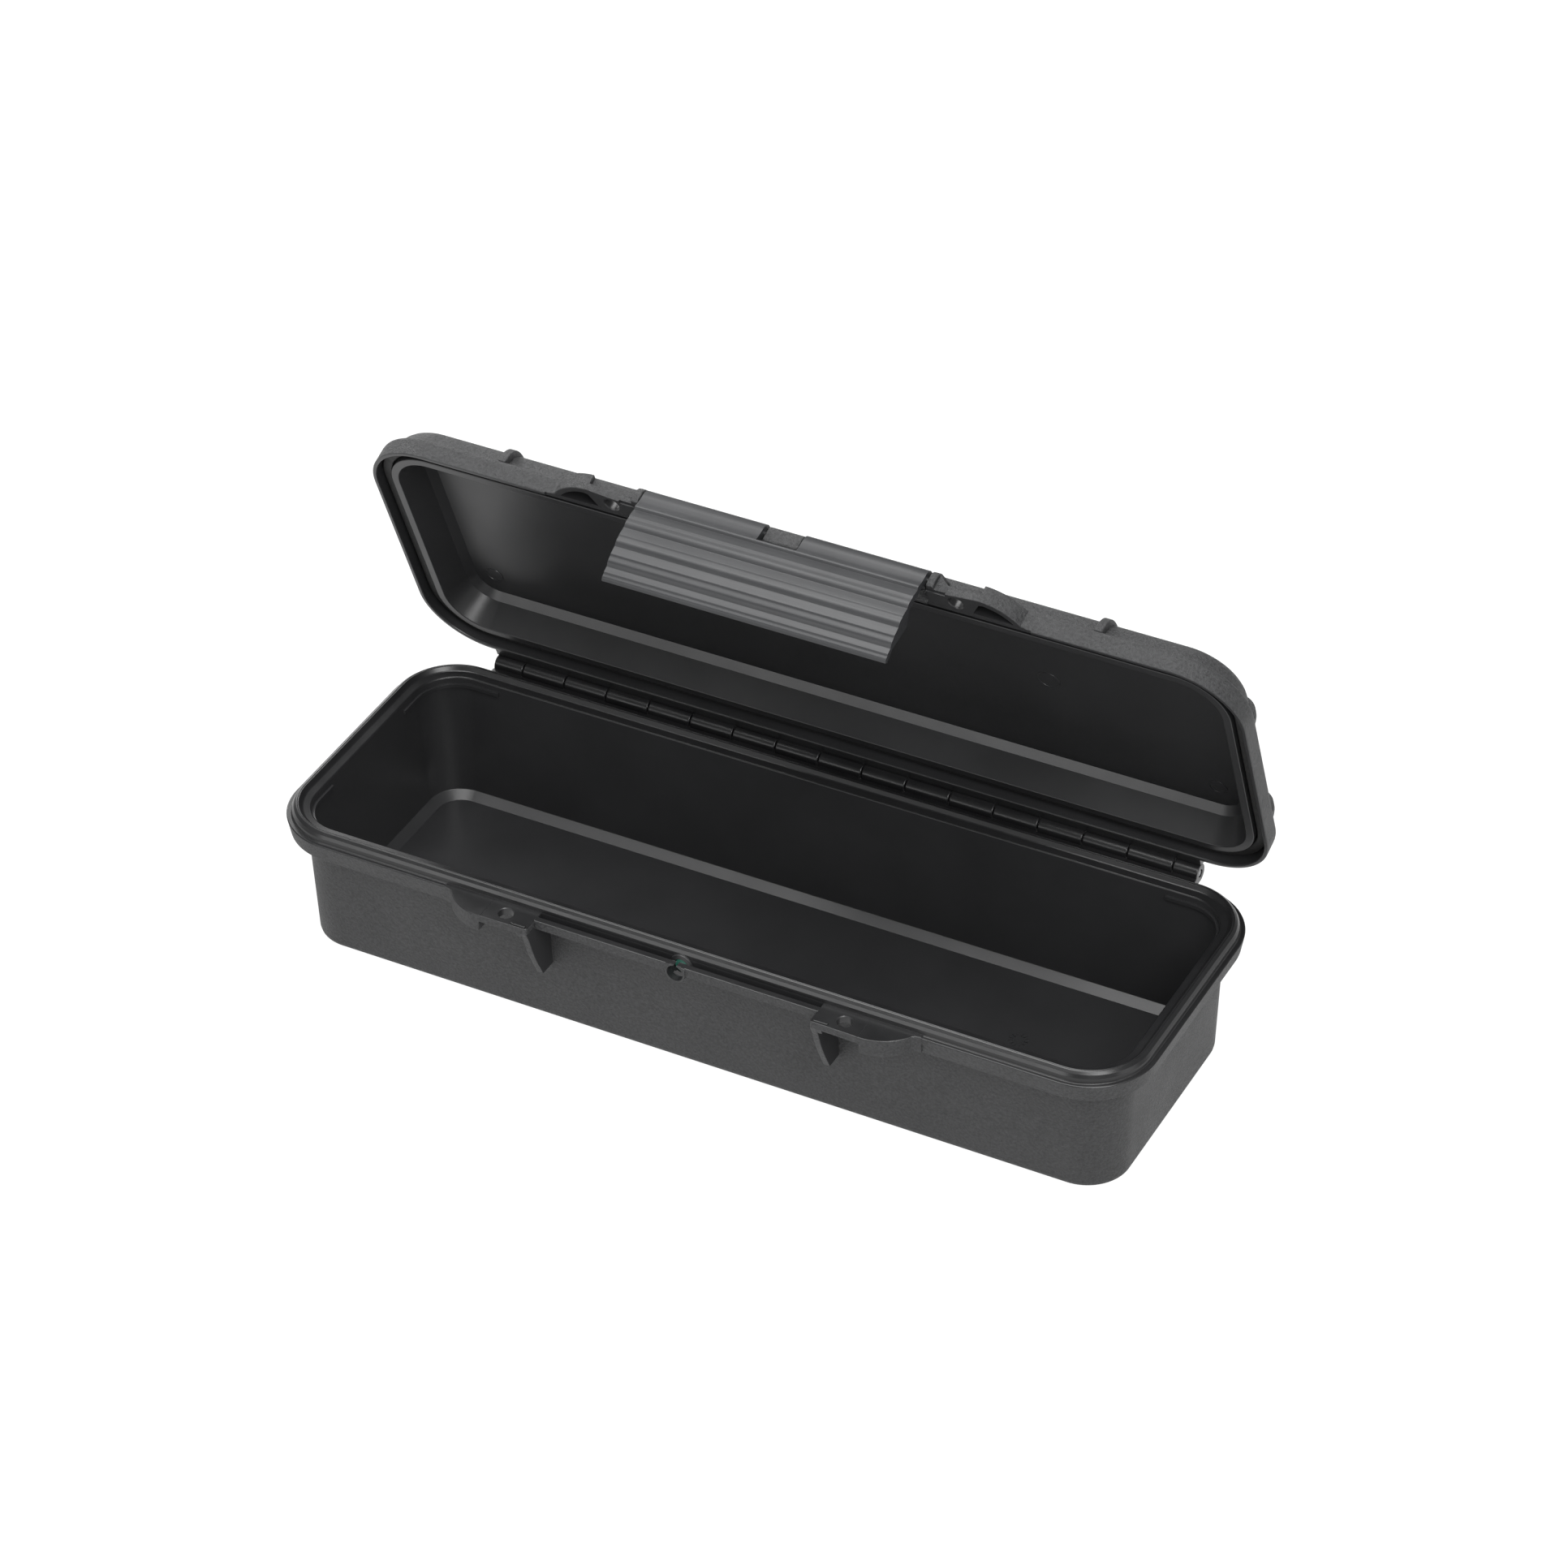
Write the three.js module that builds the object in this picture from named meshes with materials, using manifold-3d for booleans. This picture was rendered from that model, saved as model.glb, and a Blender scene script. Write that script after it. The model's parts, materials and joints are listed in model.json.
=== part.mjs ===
// Slim latched utility case, drawn open. Millimetres, +Z up, +Y towards the hinge.
// Origin: centre of the base's underside. The lid, its seal and the latch are drawn closed,
// then turned open together about the hinge rod.
import * as THREE from "three";
import { mergeVertices } from "three/addons/utils/BufferGeometryUtils.js";
import Module from "manifold-3d";

const wasm = await Module();
wasm.setup();

// ---------- driving dimensions ----------
const HALF_LENGTH = 165.72; // mouth of the base, half size along X
const HALF_DEPTH = 51.98; // mouth of the base, half size along Y
const MOUTH_RADIUS = 16.77; // corner radius of the mouth
const CORNER_SEGMENTS = 8;
const LEDGE_Z = 54; // flat ledge the lid comes down on
const BRACKET_X = 57.1; // inner faces of the lugs and claws
const LID_OPEN_DEGREES = 69;
const HINGE_Y = 68.53;
const HINGE_Z = 53.42;
const HINGE_LEFT = -148.4;
const HINGE_RIGHT = 145.2;
const KNUCKLE_PITCH = 18.07;
const KNUCKLE_CENTRE_X = -0.4; // middle of the centre knuckle
const KNUCKLE_RADIUS = 3.8;
const KNUCKLE_GAP = 0.4;
const ROD_RADIUS = 1.5;
const BORE_RADIUS = 1.6;
const PIVOT_Y = -66.5; // latch pivot, lid closed
const PIVOT_Z = 59.5;
const BARREL_RADIUS = 3.3;
const LATCH_HALF_WIDTH = 56.2;
const LATCHED_DEGREES = 13.5; // how far the drawn latch still has to swing in to catch
const CENTRE_KNUCKLE_HALF = 7;
const NOTCH_GAP = 0.9; // between the lid's centre knuckle and the latch, on each side
const PADLOCK_X = 68.4;
const PADLOCK_Y = -65.1;
const PADLOCK_RADIUS = 2.9;
const LUG_ARC = { x: 77, y: -51.6, radius: 19.3 };
const RAIL_FRONT_Y = -64.5;
const RAIL_BACK_Y = -61.9;
const VENT_X = 0.4;
const VENT_Z = 51.3;
const RIB_X = 118.9;
const END_RIB_Y = 29.5;
const PADLOCK_SEGMENTS = 24;

// ---------- solids from three.js geometry ----------
function solidFrom(geometry) {
  const bare = geometry.clone();
  bare.deleteAttribute("normal");
  bare.deleteAttribute("uv");
  const merged = mergeVertices(bare, 1e-4);
  return new wasm.Manifold(
    new wasm.Mesh({
      numProp: 3,
      vertProperties: merged.attributes.position.array,
      triVerts: new Uint32Array(merged.index.array),
    }),
  );
}

function box(x0, x1, y0, y1, z0, z1) {
  const geometry = new THREE.BoxGeometry(x1 - x0, y1 - y0, z1 - z0);
  return solidFrom(geometry.translate((x0 + x1) / 2, (y0 + y1) / 2, (z0 + z1) / 2));
}

function prism(outline, length) {
  const shape = new THREE.Shape(outline.map(([a, b]) => new THREE.Vector2(a, b)));
  return new THREE.ExtrudeGeometry(shape, { depth: length, bevelEnabled: false });
}

// An outline in (y, z) drawn out along X.
function prismAlongX(outline, x0, x1) {
  const geometry = prism(outline, x1 - x0);
  geometry.applyMatrix4(new THREE.Matrix4().set(0, 0, 1, x0, 1, 0, 0, 0, 0, 1, 0, 0, 0, 0, 0, 1));
  return solidFrom(geometry);
}

// An outline in (x, z) drawn out along Y.
function prismAlongY(outline, y0, y1) {
  const geometry = prism(outline, y1 - y0);
  geometry.applyMatrix4(new THREE.Matrix4().set(1, 0, 0, 0, 0, 0, -1, y1, 0, 1, 0, 0, 0, 0, 0, 1));
  return solidFrom(geometry);
}

// An outline in (x, y) drawn out along Z.
function prismAlongZ(outline, z0, z1) {
  return solidFrom(prism(outline, z1 - z0).translate(0, 0, z0));
}

function rodAlongX(radius, x0, x1, y, z, segments = 20) {
  const geometry = new THREE.CylinderGeometry(radius, radius, x1 - x0, segments);
  return solidFrom(geometry.rotateZ(-Math.PI / 2).translate((x0 + x1) / 2, y, z));
}

function rodAlongY(radius, y0, y1, x, z, segments = 24) {
  const geometry = new THREE.CylinderGeometry(radius, radius, y1 - y0, segments);
  return solidFrom(geometry.translate(x, (y0 + y1) / 2, z));
}

function rodAlongZ(radius, z0, z1, x, y, segments = PADLOCK_SEGMENTS) {
  const geometry = new THREE.CylinderGeometry(radius, radius, z1 - z0, segments);
  return solidFrom(geometry.rotateX(Math.PI / 2).translate(x, y, (z0 + z1) / 2));
}

// One rounded rectangle, `offset` outside the mouth, as points at height z.
function mouthLoop(offset, z) {
  const a = HALF_LENGTH - MOUTH_RADIUS;
  const b = HALF_DEPTH - MOUTH_RADIUS;
  const radius = MOUTH_RADIUS + offset;
  const corners = [[a, b], [-a, b], [-a, -b], [a, -b]];
  return corners.flatMap(([x, y], quarter) =>
    Array.from({ length: CORNER_SEGMENTS + 1 }, (_, i) => {
      const angle = (quarter + i / CORNER_SEGMENTS) * (Math.PI / 2);
      return new THREE.Vector3(x + radius * Math.cos(angle), y + radius * Math.sin(angle), z);
    }),
  );
}

// A wall whose section is `profile`, a list of [offset, z], run round the mouth.
// A closed profile gives a ring; an open one gets a flat cap on its first and last loop.
function mouthWall(profile, closed = false) {
  const loops = profile.map(([offset, z]) => mouthLoop(offset, z));
  const count = loops[0].length;
  const faces = [];
  const bands = closed ? loops.length : loops.length - 1;
  for (let k = 0; k < bands; k++) {
    const next = (k + 1) % loops.length;
    for (let i = 0; i < count; i++) {
      const j = (i + 1) % count;
      faces.push(k * count + i, k * count + j, next * count + j);
      faces.push(k * count + i, next * count + j, next * count + i);
    }
  }
  const points = loops.flat();
  if (!closed) {
    const first = points.length;
    const last = first + 1;
    points.push(new THREE.Vector3(0, 0, profile[0][1]));
    points.push(new THREE.Vector3(0, 0, profile[profile.length - 1][1]));
    const top = (loops.length - 1) * count;
    for (let i = 0; i < count; i++) {
      const j = (i + 1) % count;
      faces.push(first, j, i);
      faces.push(last, top + i, top + j);
    }
  }
  const geometry = new THREE.BufferGeometry().setFromPoints(points).setIndex(faces);
  return solidFrom(geometry);
}

// A rounded rectangle outline centred on the origin.
function roundedRectangle(halfX, halfY, radius, centreX = 0, centreY = 0) {
  const corners = [[1, 1], [-1, 1], [-1, -1], [1, -1]];
  return corners.flatMap(([sx, sy], quarter) =>
    Array.from({ length: 5 }, (_, i) => {
      const angle = (quarter + i / 4) * (Math.PI / 2);
      return [
        centreX + sx * (halfX - radius) + radius * Math.cos(angle),
        centreY + sy * (halfY - radius) + radius * Math.sin(angle),
      ];
    }),
  );
}

function union(solids) {
  return solids.reduce((sum, next) => sum.add(next));
}

function without(solid, cuts) {
  return cuts.reduce((rest, cut) => rest.subtract(cut), solid);
}

// ---------- hinge ----------
// Knuckles run from one end of the span to the other; the base owns every other one.
function knuckleSpans() {
  const edges = [HINGE_LEFT];
  for (let k = -7.5; k <= 7.5; k++) edges.push(KNUCKLE_CENTRE_X + k * KNUCKLE_PITCH);
  edges.push(HINGE_RIGHT);
  return edges.slice(1).map((edge, i) => [edges[i] + KNUCKLE_GAP / 2, edge - KNUCKLE_GAP / 2]);
}

// The room that each shell leaves round the other shell's knuckles.
function knuckleClearance() {
  return rodAlongX(KNUCKLE_RADIUS + 0.45, HINGE_LEFT - 1, HINGE_RIGHT + 1, HINGE_Y, HINGE_Z, 32);
}

function baseKnuckles() {
  const arm = [
    [60.6, 53.4], [60.6, 47.2], [61.6, 47.2], [66.4, 49.6], [HINGE_Y, 49.65], [HINGE_Y, 53.4],
  ];
  const owned = knuckleSpans().filter((_, i) => i % 2 === 0);
  return owned.flatMap(([x0, x1]) => [
    rodAlongX(KNUCKLE_RADIUS, x0, x1, HINGE_Y, HINGE_Z, 24),
    prismAlongX(arm, x0, x1),
  ]);
}

// The web that joins the base's arms and closes the slot below the lid's knuckles.
function baseHingeWeb() {
  const outline = [[60.6, 53.4], [60.6, 47.2], [61.6, 47.2], [65.6, 49.2], [65.6, 53.4]];
  return prismAlongX(outline, HINGE_LEFT, HINGE_RIGHT).subtract(knuckleClearance());
}

function lidKnuckles() {
  const arm = [
    [60.9, 54.4], [HINGE_Y, 54.4], [HINGE_Y, 57.2], [66.6, 57.2], [63.4, 58.3], [60.9, 60.2],
  ];
  const owned = knuckleSpans().filter((_, i) => i % 2 === 1);
  return owned.flatMap(([x0, x1]) => [
    rodAlongX(KNUCKLE_RADIUS, x0, x1, HINGE_Y, HINGE_Z, 24),
    prismAlongX(arm, x0, x1),
  ]);
}

// The strip that joins the lid's arms and closes the gap above the base's knuckles.
function lidHingeStrip() {
  const outline = [[60.9, 54.4], [66.2, 54.4], [66.2, 57.3], [63.4, 58.3], [60.9, 60.2]];
  return prismAlongX(outline, HINGE_LEFT, HINGE_RIGHT).subtract(knuckleClearance());
}

function hingeBore() {
  return rodAlongX(BORE_RADIUS, HINGE_LEFT - 1, HINGE_RIGHT + 1, HINGE_Y, HINGE_Z);
}

// ---------- brackets either side of the latch ----------
// Points on the rounded end of a lug, from its straight front edge round to the rim.
function lugArc(side, inset, fromDegrees = -93, toDegrees = -33, steps = 10) {
  const radius = LUG_ARC.radius - inset;
  return Array.from({ length: steps + 1 }, (_, i) => {
    const angle = THREE.MathUtils.degToRad(fromDegrees + ((toDegrees - fromDegrees) * i) / steps);
    return [side * (LUG_ARC.x + radius * Math.cos(angle)), LUG_ARC.y + radius * Math.sin(angle)];
  });
}

// The whole plan of a lug, blended into the rim at its far end.
function lugPlan(side, rimY) {
  return [
    [side * BRACKET_X, rimY],
    [side * BRACKET_X, -69.9],
    [side * (BRACKET_X + 0.6), -70.5],
    ...lugArc(side, 0),
    [side * 94.1, -61.6],
    [side * 96.4, -61.2],
    [side * 96.4, rimY],
  ];
}

// The part of the plan that hangs down as a skirt, round the D-shaped end.
function lugEndPlan(side, rimY) {
  return [
    [side * 76.6, rimY],
    ...lugArc(side, 0, -91, -33),
    [side * 94.1, -61.6],
    [side * 96.4, -61.2],
    [side * 96.4, rimY],
  ];
}

function baseBracket(side) {
  const between = (a, b) => (side > 0 ? [a, b] : [-b, -a]);
  const [clawIn, clawOut] = between(BRACKET_X, 59.7);
  const claw = prismAlongX(
    [
      [-52.5, 51.8], [-70.4, 51.8], [-70.1, 51], [-68.4, 46.9], [-66.9, 42.1],
      [-65.2, 37.7], [-63.5, 33.8], [-61.7, 30.2], [-60.2, 27], [-59.6, 26.6], [-52.5, 26.6],
    ],
    clawIn,
    clawOut,
  );
  const [gussetIn, gussetOut] = between(59.5, 61.7);
  const gusset = prismAlongX(
    [[-70.2, 51.8], [-69.6, 49.4], [-67.4, 49.4], [-64, 51.8]],
    gussetIn,
    gussetOut,
  );
  const pocket = prismAlongZ(
    [[side * 79.3, -62], ...lugArc(side, 2.4, -85, -36.5, 6)],
    46,
    51.4,
  );
  const end = without(prismAlongZ(lugEndPlan(side, -59.2), 47.4, 54.2), [pocket]);
  const bead = prismAlongZ(roundedRectangle(3, 0.7, 0.6, side * 61, -69.2), 54.2, 54.9);
  return [prismAlongZ(lugPlan(side, -59.2), 51.5, 54.4), end, claw, gusset, bead];
}

function catchRail() {
  const claspLength = BRACKET_X + 0.4;
  const bar = box(-claspLength, claspLength, RAIL_FRONT_Y, RAIL_BACK_Y, 50.7, 54.5);
  const shelf = box(-claspLength, claspLength, -62.4, -53.2, 48.9, 51.3);
  const above = box(VENT_X - 5, VENT_X + 5, -66, -61, 54.5, 57);
  const eye = rodAlongY(4, -64.9, -62, VENT_X, VENT_Z).subtract(above);
  const eyeTop = box(VENT_X - 4, VENT_X + 4, -64.9, -62, VENT_Z, 54.5);
  const boss = rodAlongY(4.6, -60.2, -52.8, VENT_X, VENT_Z);
  return [bar, shelf, eye, eyeTop, boss];
}

// ---------- base ----------
const BASE_PROFILE = [
  [-2.1, 0], [-1, 0.25], [-0.2, 0.95], [0.08, 2.1], [1.8, 46.5], [1.97, 51],
  [5.75, 51], [5.65, 46.85], [8.05, 46.85], [9.28, 53.7], [8.98, 54], [7.6, 54],
  [7.35, 54.5], [7.1, 55.9], [6.4, 57.1], [5.5, 57.85], [5.15, 58.02], [4.9, 57.8],
  [4.65, 58], [4.3, 57.9], [3.3, 56.55], [2.9, 56.25], [0.4, 55.75], [0, 55.4],
  [-0.75, 46], [-3.4, 5.1], [-7.2, 2.6],
];

function cornerLedges() {
  const ring = mouthWall([[0.4, 53], [-1.15, 53], [-1.15, 51.6], [0.3, 50.8]].reverse(), true);
  const keepX = HALF_LENGTH - 27;
  const keepY = HALF_DEPTH - 26;
  return without(ring, [
    box(-keepX, keepX, -80, 80, 40, 60),
    box(-190, 190, -keepY, keepY, 40, 60),
  ]);
}

function baseShell() {
  const frontCut = box(-BRACKET_X, BRACKET_X, -75, -59.4, 40, 60);
  const frontSkirt = box(-BRACKET_X, BRACKET_X, -75, -54.2, 40, 48.9);
  const body = without(mouthWall(BASE_PROFILE), [frontCut, frontSkirt]);
  const whole = union([
    body,
    cornerLedges(),
    ...baseBracket(1),
    ...baseBracket(-1),
    ...catchRail(),
    ...baseKnuckles(),
    baseHingeWeb(),
  ]);
  const holes = [1, -1].map((side) => rodAlongZ(PADLOCK_RADIUS, 44, 60, side * PADLOCK_X, PADLOCK_Y));
  return without(whole, [
    ...holes,
    hingeBore(),
    rodAlongY(3.25, -66, -61, VENT_X, VENT_Z),
    rodAlongY(2.9, -61, -58.1, VENT_X, VENT_Z),
    rodAlongY(2.5, -58.6, -50, VENT_X, VENT_Z),
  ]);
}

// ---------- vent ----------
function ventPlug() {
  const profile = [
    [0.6, 0], [2.55, 0], [2.6, 0.15], [2.6, 1.3], [2.15, 1.45], [2.15, 3.1], [1.5, 3.2],
    [1.5, 4.5], [2.15, 4.6], [2.15, 7.9], [1.7, 7.9], [1.7, 7], [0.6, 7], [0.6, 0],
  ].map(([r, h]) => new THREE.Vector2(r, h));
  const geometry = new THREE.LatheGeometry(profile, 24);
  return solidFrom(geometry.translate(0, -59.9, 0).translate(VENT_X, 0, VENT_Z));
}

function ventRing() {
  const geometry = new THREE.TorusGeometry(2, 0.3, 8, 24).rotateX(Math.PI / 2);
  return solidFrom(geometry.translate(VENT_X, -56.05, VENT_Z));
}

function ventMembrane() {
  return rodAlongY(1.4, -52.6, -52.25, VENT_X, VENT_Z);
}

// ---------- lid, drawn closed ----------
const LID_PROFILE = [
  [-8.2, 69.8], [-5.4, 68.9], [-4.26, 66.8], [-0.3, 56.65], [2.86, 56.65], [2.9, 60],
  [7.5, 60], [7.6, 54.8], [7.8, 54.3], [9.28, 54.3], [9.28, 60.9], [9.1, 61.8], [8.4, 62.5],
  [6.6, 62.9], [6, 63.6], [5.6, 65], [4.4, 67.8], [3.2, 69.4], [1.9, 70.5], [-0.4, 71.7],
  [-4, 72.3], [-8, 72.4],
];

// The hump a rib makes over the lid's shoulder, as [distance inside the rim face, z].
const RIB_SHOULDER = [[0.3, 62.3], [0.7, 65], [1.7, 67.8], [3.7, 70.3], [6.7, 71.9], [11, 72.9], [18, 73.2]];
const RIB_ROOT = [[18, 71.6], [9.5, 70.6], [7.5, 68.4], [6, 64], [5, 62.3]];
const RIB_HALF_WIDTH = 1.6;

function lidRibs() {
  const faceY = HALF_DEPTH + 9.28;
  const faceX = HALF_LENGTH + 9.28;
  const shoulder = RIB_SHOULDER.map(([inside, z]) => [-faceY + inside, z]);
  const root = RIB_ROOT.map(([inside, z]) => [-faceY + inside, z]);
  const mirrored = (points) => points.map(([y, z]) => [-y, z]).reverse();
  const outline = [...shoulder, ...mirrored(shoulder), ...mirrored(root), ...root];
  const across = [-1, 1].map((side) =>
    prismAlongX(outline, side * RIB_X - RIB_HALF_WIDTH, side * RIB_X + RIB_HALF_WIDTH),
  );
  const ends = [-1, 1].flatMap((side) => {
    const low = RIB_SHOULDER.map(([inside, z]) => [side * (faceX - inside - 0.6), z - 0.5]);
    const rootPoints = RIB_ROOT.map(([inside, z]) => [side * (faceX - inside), z]);
    return [-1, 1].map((row) =>
      prismAlongY(
        [...low, ...rootPoints],
        row * END_RIB_Y - RIB_HALF_WIDTH,
        row * END_RIB_Y + RIB_HALF_WIDTH,
      ),
    );
  });
  return [...across, ...ends];
}

function lidBracket(side) {
  const between = (a, b) => (side > 0 ? [a, b] : [-b, -a]);
  const [earIn, earOut] = between(57.2, 60);
  const ear = prismAlongX(
    [
      [-60.8, 54.8], [-68.6, 54.8], [-70.2, 55.6], [-70.7, 57.5], [-70.5, 60.2], [-69.6, 62],
      [-67.8, 63.2], [-64, 64.4], [-57.5, 66.4],
    ],
    earIn,
    earOut,
  );
  const plate = prismAlongZ(
    [
      [side * 57.2, -60.6], [side * 57.2, -68.5], [side * 66, -68.9], [side * 72, -69.7],
      ...lugArc(side, 0.4, -88, -33), [side * 93.2, -60.6],
    ],
    54.8,
    57.9,
  );
  const swoop = prismAlongY(
    [
      [side * 59.8, 57.7], [side * 59.8, 62], [side * 60.6, 61.8], [side * 61.8, 60.6],
      [side * 64, 59], [side * 67, 58.1], [side * 69.5, 57.8], [side * 72, 58.2],
      [side * 74.4, 59.3], [side * 76.2, 60.8], [side * 77.6, 61.6], [side * 79, 61.7],
      [side * 79, 57.7],
    ],
    -68.8,
    -60.6,
  );
  const end = prismAlongZ(
    [
      [side * 77.4, -60.6], ...lugArc(side, 0.4, -88, -33), [side * 94.1, -61.5],
      [side * 96.4, -61.1], [side * 96.4, -60.6],
    ],
    54.8,
    61.7,
  );
  const pocket = prismAlongZ(
    [[side * 74.6, -61.9], [side * 77.6, -67.6], ...lugArc(side, 2.7, -82, -37, 6)],
    54,
    59.6,
  );
  const beadRecess = box(...between(57.1, 64.8), -72, -67.6, 54, 55.5);
  return without(union([ear, plate, swoop, end]), [pocket, beadRecess]);
}

function centreKnuckle() {
  const half = CENTRE_KNUCKLE_HALF;
  return prismAlongX(
    [
      [-60.8, 54.9], [-69.4, 54.9], [-70, 55.6], [-70, 60.4], [-69.3, 61.6],
      [-67.9, 62.5], [-64, 63.4], [-60.8, 63.6], [-58.5, 62.6],
    ],
    -half,
    half,
  );
}

function lidShell() {
  const whole = union([
    mouthWall(LID_PROFILE),
    ...lidRibs(),
    lidBracket(1),
    lidBracket(-1),
    centreKnuckle(),
    lidHingeStrip(),
    ...lidKnuckles(),
  ]);
  const holes = [1, -1].map((side) => rodAlongZ(PADLOCK_RADIUS, 54, 59, side * PADLOCK_X, PADLOCK_Y));
  return without(whole, [
    ...holes,
    hingeBore(),
    rodAlongX(BORE_RADIUS, -62, 62, PIVOT_Y, PIVOT_Z),
    box(VENT_X - 5.4, VENT_X + 5.4, -61.6, -59, 53, 56.6),
    ...[56.8, -96.8].map((x) => box(x, x + 40, -61.4, -59.2, 53, 54.75)),
  ]);
}

function lidSeal() {
  return mouthWall([[3.3, 58.5], [4.6, 58.35], [5.8, 58.35], [7.1, 58.5], [7.1, 59.7], [3.3, 59.7]], true);
}

// ---------- latch, drawn at its resting angle ----------
// Outer face: a smooth top that wraps the pivot, then four broad flutes between creases.
const LATCH_TOP = [
  [-64.3, 61.9], [-66.5, 62.8], [-68.9, 62.4], [-70.5, 61.2], [-71.3, 59.4], [-71.5, 57.2],
  [-71.8, 55], [-72.4, 53.2], [-72.3, 52.3],
];
const LATCH_CREASES = [[-71.7, 51.7], [-71.9, 43.2], [-70.9, 35.4], [-68.5, 27.9], [-66.3, 22.9]];
// One flute as [share of the way down, height outward]: a flat that faces up, a small step, and
// a roll that turns under to the next crease.
const FLUTE = [
  [0.39, 0.62], [0.46, 0.59], [0.54, 0.6], [0.66, 0.74], [0.74, 0.79], [0.82, 0.71], [0.92, 0.4], [1, 0],
];
const LATCH_INNER = [[-65.2, 24], [-67.6, 30.6], [-69.2, 37], [-69.7, 44], [-69.6, 51], [-69.3, 55.2]];

function fluted(creases) {
  return creases.slice(1).flatMap(([y, z], i) => {
    const from = new THREE.Vector2(...creases[i]);
    const along = new THREE.Vector2(y, z).sub(from);
    const outward = new THREE.Vector2(along.y, -along.x).normalize();
    return FLUTE.map(([share, height]) => {
      const point = from.clone().addScaledVector(along, share).addScaledVector(outward, height);
      return [point.x, point.y];
    });
  });
}

function turnedAboutPivot([y, z], degrees) {
  const angle = THREE.MathUtils.degToRad(degrees);
  const point = new THREE.Vector2(y, z).rotateAround(new THREE.Vector2(PIVOT_Y, PIVOT_Z), angle);
  return [point.x, point.y];
}

function latch() {
  const outline = [
    ...LATCH_TOP,
    LATCH_CREASES[0],
    ...fluted(LATCH_CREASES),
    ...LATCH_INNER,
    [-67.6, 56.4],
    [-64.6, 57],
  ];
  const half = LATCH_HALF_WIDTH;
  const plate = prismAlongX(outline, -half, half);
  const barrel = rodAlongX(BARREL_RADIUS, -half, half, PIVOT_Y, PIVOT_Z, 24);
  const hookOutline = [[-68.3, 50.4], [-63.2, 50.4], [-63.2, 48.4], [-65, 47.1], [-67.4, 46.3]];
  const hook = hookOutline.map((point) => turnedAboutPivot(point, -LATCHED_DEGREES));
  const web = [[-70.6, 45.5], [-64.9, 40.3], [-64.9, 39.2], [-67.4, 25.6], [-68.6, 31]];
  const webs = [-1, 1].map((side) =>
    prismAlongX(web, side > 0 ? half - 2.2 : -half, side > 0 ? half : -half + 2.2),
  );
  const hooks = [-1, 1].map((side) =>
    prismAlongX(hook, side > 0 ? 6.5 : -half + 3.4, side > 0 ? half - 3.4 : -6.5),
  );
  const notchHalf = CENTRE_KNUCKLE_HALF + NOTCH_GAP;
  const notch = box(-notchHalf, notchHalf, -80, -60, 53.2, 70);
  return without(union([plate, barrel, ...webs, ...hooks]), [
    notch,
    rodAlongX(BORE_RADIUS, -half - 1, half + 1, PIVOT_Y, PIVOT_Z),
  ]);
}

// ---------- assembly ----------
const SHELL_BLACK = { color: 0x2b2c2e, roughness: 0.6, metalness: 0 };
const LATCH_GREY = { color: 0x55575b, roughness: 0.45, metalness: 0 };
const STEEL = { color: 0xb9bcc0, roughness: 0.3, metalness: 1 };
const SEAL_BLACK = { color: 0x151516, roughness: 0.8, metalness: 0 };
const VENT_GREEN = { color: 0x2f6b55, roughness: 0.3, metalness: 0 };
const MEMBRANE_WHITE = { color: 0xe8e8e4, roughness: 0.9, metalness: 0 };

function named(name, solid, look) {
  const { numProp, vertProperties, triVerts } = solid.getMesh();
  const geometry = new THREE.BufferGeometry();
  const positions = new THREE.InterleavedBuffer(vertProperties, numProp);
  geometry.setAttribute("position", new THREE.InterleavedBufferAttribute(positions, 3, 0));
  geometry.setIndex(new THREE.BufferAttribute(triVerts, 1));
  const flat = geometry.toNonIndexed();
  flat.computeVertexNormals();
  const mesh = new THREE.Mesh(flat, new THREE.MeshStandardMaterial(look));
  mesh.name = name;
  return mesh;
}

const fixed = new THREE.Group();
fixed.add(
  named("base_shell", baseShell(), SHELL_BLACK),
  named("hinge_rod", rodAlongX(ROD_RADIUS, HINGE_LEFT + 0.6, HINGE_RIGHT - 0.6, HINGE_Y, HINGE_Z), STEEL),
  named("vent_plug", ventPlug(), VENT_GREEN),
  named("vent_membrane", ventMembrane(), MEMBRANE_WHITE),
  named("vent_o_ring", ventRing(), SEAL_BLACK),
);

const lid = new THREE.Group();
lid.add(
  named("lid_shell", lidShell(), SHELL_BLACK),
  named("lid_seal", lidSeal(), SEAL_BLACK),
  named("latch", latch(), LATCH_GREY),
  named("latch_rod", rodAlongX(ROD_RADIUS, -59.6, 59.6, PIVOT_Y, PIVOT_Z), STEEL),
);

// Turns the closed lid open about the hinge rod.
const hingeLine = new THREE.Vector3(0, HINGE_Y, HINGE_Z);
lid.rotation.x = THREE.MathUtils.degToRad(-LID_OPEN_DEGREES);
lid.position.copy(hingeLine).sub(hingeLine.clone().applyEuler(lid.rotation));

const model = new THREE.Group();
model.add(fixed, lid);
export default model;
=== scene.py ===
import json
import math

import bmesh
import bpy
from mathutils import Matrix, Vector


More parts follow.
